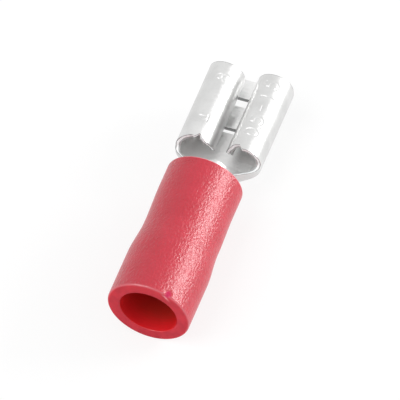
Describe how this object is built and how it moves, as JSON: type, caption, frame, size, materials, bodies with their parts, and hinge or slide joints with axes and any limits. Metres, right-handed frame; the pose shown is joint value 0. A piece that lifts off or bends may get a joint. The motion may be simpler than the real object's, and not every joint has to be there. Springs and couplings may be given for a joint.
{
  "type": "insulated female spade terminal",
  "caption": "Insulated female spade terminal: a rolled receptacle for a flat blade, with a wire barrel inside a flared red vinyl sleeve.",
  "frame": {"origin": "centre of the sleeve's open mouth, where the wire goes in, on the wire barrel's axis", "axes": "+X along the wire barrel's axis, from the sleeve's mouth to the end that takes the blade; +Z away from the receptacle's flat base, towards the rolled wings; Y across the receptacle"},
  "size_m": [0.0189, 0.0054, 0.0052],
  "materials": {
    "tinned_brass": "bright tin plating over brass strip, softly polished, with bare sheared edges",
    "red_vinyl": "opaque red vinyl with a satin, very finely crinkled skin"
  },
  "bodies": {
    "root": {"terminal": "tinned_brass", "sleeve": "red_vinyl"}
  },
  "joints": []
}
